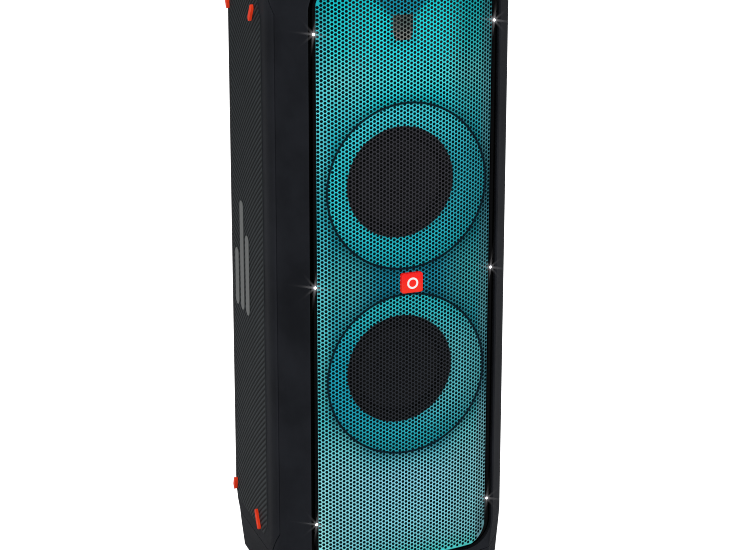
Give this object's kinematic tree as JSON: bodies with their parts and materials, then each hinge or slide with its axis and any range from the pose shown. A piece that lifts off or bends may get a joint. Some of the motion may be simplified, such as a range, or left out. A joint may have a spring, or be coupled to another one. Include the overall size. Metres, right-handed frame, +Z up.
{
  "type": "party speaker",
  "caption": "Tall floor-standing party speaker with a lit perforated front, midrange drivers, a horn, a down-firing woofer, top controls and rear wheels.",
  "frame": {"origin": "centre of the footprint, on the floor", "axes": "+X to the right seen from the front, +Y to the rear, +Z up"},
  "size_m": [0.4012, 0.4, 1.053],
  "materials": {
    "housing_plastic": "fine moulded grain, satin black",
    "textured_plastic": "charcoal with a moulded diamond dash pattern",
    "mark_grey": "satin mid grey",
    "orange_rubber": "matt orange-red rubber",
    "black_rubber": "matt rubber",
    "gloss_black": "piano black",
    "grille_metal": "perforated steel, powder coated, lit from behind in teal",
    "lit_diffuser": "translucent diffuser glowing teal",
    "clear_lens": "clear lens over a white LED",
    "badge_red": "satin red",
    "horn_plastic": "dark grey moulded",
    "driver_steel": "black zinc",
    "driver_frame": "black powder coat",
    "cabinet_board": "dense fibreboard, painted black outside",
    "port_plastic": "black moulded",
    "grip_plastic": "fine ribbed grip",
    "wheel_rubber": "black tread on a dark hub",
    "bright_steel": "turned",
    "black_steel": "black oxide",
    "knob_plastic": "satin black with fluted edge",
    "key_rubber": "soft black silicone",
    "pad_rubber": "grey silicone",
    "panel_metal": "black fine texture",
    "jack_metal": "nickel",
    "switch_plastic": "black",
    "circuit_board": "green solder mask with components",
    "heat_sink_aluminium": "extruded",
    "cone_paper": "coated pulp cone",
    "surround_rubber": "butyl half-roll"
  },
  "bodies": {
    "cabinet": {"amplifier_board": "circuit_board", "badge": "badge_red", "baffle": "cabinet_board", "base_feet": "black_rubber", "base_plinth": "housing_plastic", "bass_ports": "port_plastic", "compression_driver": "driver_steel", "control_panel": "gloss_black", "enclosure": "cabinet_board", "flap_pin": "bright_steel", "front_frame": "housing_plastic", "front_grille": "grille_metal", "grille_border": "gloss_black", "handle_bar": "grip_plastic", "heat_sink": "heat_sink_aluminium", "horn": "horn_plastic", "io_jacks": "jack_metal", "io_panel": "panel_metal", "light_panel": "lit_diffuser", "mains_inlet": "port_plastic", "mid_lower_frame": "driver_frame", "mid_lower_motor": "driver_steel", "mid_lower_suspension": "surround_rubber", "mid_upper_frame": "driver_frame", "mid_upper_motor": "driver_steel", "mid_upper_suspension": "surround_rubber", "power_supply": "circuit_board", "rear_cover": "housing_plastic", "rear_screws": "black_steel", "ring_light_lower": "lit_diffuser", "ring_light_upper": "lit_diffuser", "side_cover_left": "housing_plastic", "side_cover_right": "housing_plastic", "side_feet": "orange_rubber", "side_inserts": "textured_plastic", "side_marks": "mark_grey", "strobe_leds": "clear_lens", "top_deck": "housing_plastic", "wheel_axle": "bright_steel", "woofer_frame": "driver_frame", "woofer_guard": "driver_steel", "woofer_motor": "driver_steel", "woofer_suspension": "surround_rubber"},
    "mid_lower_cone_body": {"mid_lower_cone": "cone_paper"},
    "mid_upper_cone_body": {"mid_upper_cone": "cone_paper"},
    "woofer_cone_body": {"woofer_cone": "cone_paper", "woofer_dust_cap": "cone_paper"},
    "drum_pad_left_body": {"drum_pad_left": "pad_rubber"},
    "drum_pad_right_body": {"drum_pad_right": "pad_rubber"},
    "guitar_gain_knob_body": {"guitar_gain_knob": "knob_plastic"},
    "io_flap_body": {"io_flap": "key_rubber"},
    "light_button_body": {"light_button": "key_rubber"},
    "mic_gain_knob_body": {"mic_gain_knob": "knob_plastic"},
    "pairing_button_body": {"pairing_button": "key_rubber"},
    "play_button_body": {"play_button": "key_rubber"},
    "power_button_body": {"power_button": "key_rubber"},
    "rocker_switch_body": {"rocker_switch": "switch_plastic"},
    "volume_knob_body": {"volume_knob": "knob_plastic"},
    "wheel_left_body": {"wheel_left": "wheel_rubber"},
    "wheel_right_body": {"wheel_right": "wheel_rubber"}
  },
  "joints": [
    {"name": "mid_lower_excursion", "type": "slide", "parent": "cabinet", "child": "mid_lower_cone_body", "axis": [0, -1, 0], "range_m": [-0.004, 0.004], "stiffness_N_per_m": 2500, "deforming": ["mid_lower_suspension"]},
    {"name": "mid_upper_excursion", "type": "slide", "parent": "cabinet", "child": "mid_upper_cone_body", "axis": [0, -1, 0], "range_m": [-0.004, 0.004], "stiffness_N_per_m": 2500, "deforming": ["mid_upper_suspension"]},
    {"name": "woofer_excursion", "type": "slide", "parent": "cabinet", "child": "woofer_cone_body", "axis": [0, 0, -1], "range_m": [-0.008, 0.008], "stiffness_N_per_m": 3500, "deforming": ["woofer_suspension"]},
    {"name": "wheel_left_spin", "type": "hinge", "parent": "cabinet", "child": "wheel_left_body", "pos_m": [-0.116, 0.156, 0.038], "axis": [1, 0, 0], "continuous": true},
    {"name": "wheel_right_spin", "type": "hinge", "parent": "cabinet", "child": "wheel_right_body", "pos_m": [0.116, 0.156, 0.038], "axis": [1, 0, 0], "continuous": true},
    {"name": "volume_turn", "type": "hinge", "parent": "cabinet", "child": "volume_knob_body", "pos_m": [0, -0.022, 1.045], "axis": [0, 0, 1], "continuous": true},
    {"name": "power_button_press", "type": "slide", "parent": "cabinet", "child": "power_button_body", "axis": [0, 0, -1], "range_m": [0, 0.0012], "stiffness_N_per_m": 600},
    {"name": "pairing_button_press", "type": "slide", "parent": "cabinet", "child": "pairing_button_body", "axis": [0, 0, -1], "range_m": [0, 0.0012], "stiffness_N_per_m": 600},
    {"name": "play_button_press", "type": "slide", "parent": "cabinet", "child": "play_button_body", "axis": [0, 0, -1], "range_m": [0, 0.0012], "stiffness_N_per_m": 600},
    {"name": "light_button_press", "type": "slide", "parent": "cabinet", "child": "light_button_body", "axis": [0, 0, -1], "range_m": [0, 0.0012], "stiffness_N_per_m": 600},
    {"name": "drum_pad_left_press", "type": "slide", "parent": "cabinet", "child": "drum_pad_left_body", "axis": [0, 0, -1], "range_m": [0, 0.0015], "stiffness_N_per_m": 2000},
    {"name": "drum_pad_right_press", "type": "slide", "parent": "cabinet", "child": "drum_pad_right_body", "axis": [0, 0, -1], "range_m": [0, 0.0015], "stiffness_N_per_m": 2000},
    {"name": "mic_gain_turn", "type": "hinge", "parent": "cabinet", "child": "mic_gain_knob_body", "pos_m": [0.018, 0.195, 0.812], "axis": [0, 1, 0], "range_deg": [-150, 150]},
    {"name": "guitar_gain_turn", "type": "hinge", "parent": "cabinet", "child": "guitar_gain_knob_body", "pos_m": [0.054, 0.195, 0.812], "axis": [0, 1, 0], "range_deg": [-150, 150]},
    {"name": "io_flap_swing", "type": "hinge", "parent": "cabinet", "child": "io_flap_body", "pos_m": [0, 0.1941, 0.652], "axis": [-1, 0, 0], "range_deg": [0, 105]},
    {"name": "rocker_tilt", "type": "hinge", "parent": "cabinet", "child": "rocker_switch_body", "pos_m": [0, 0.1875, 0.188], "axis": [1, 0, 0], "range_deg": [-7, 7]}
  ]
}
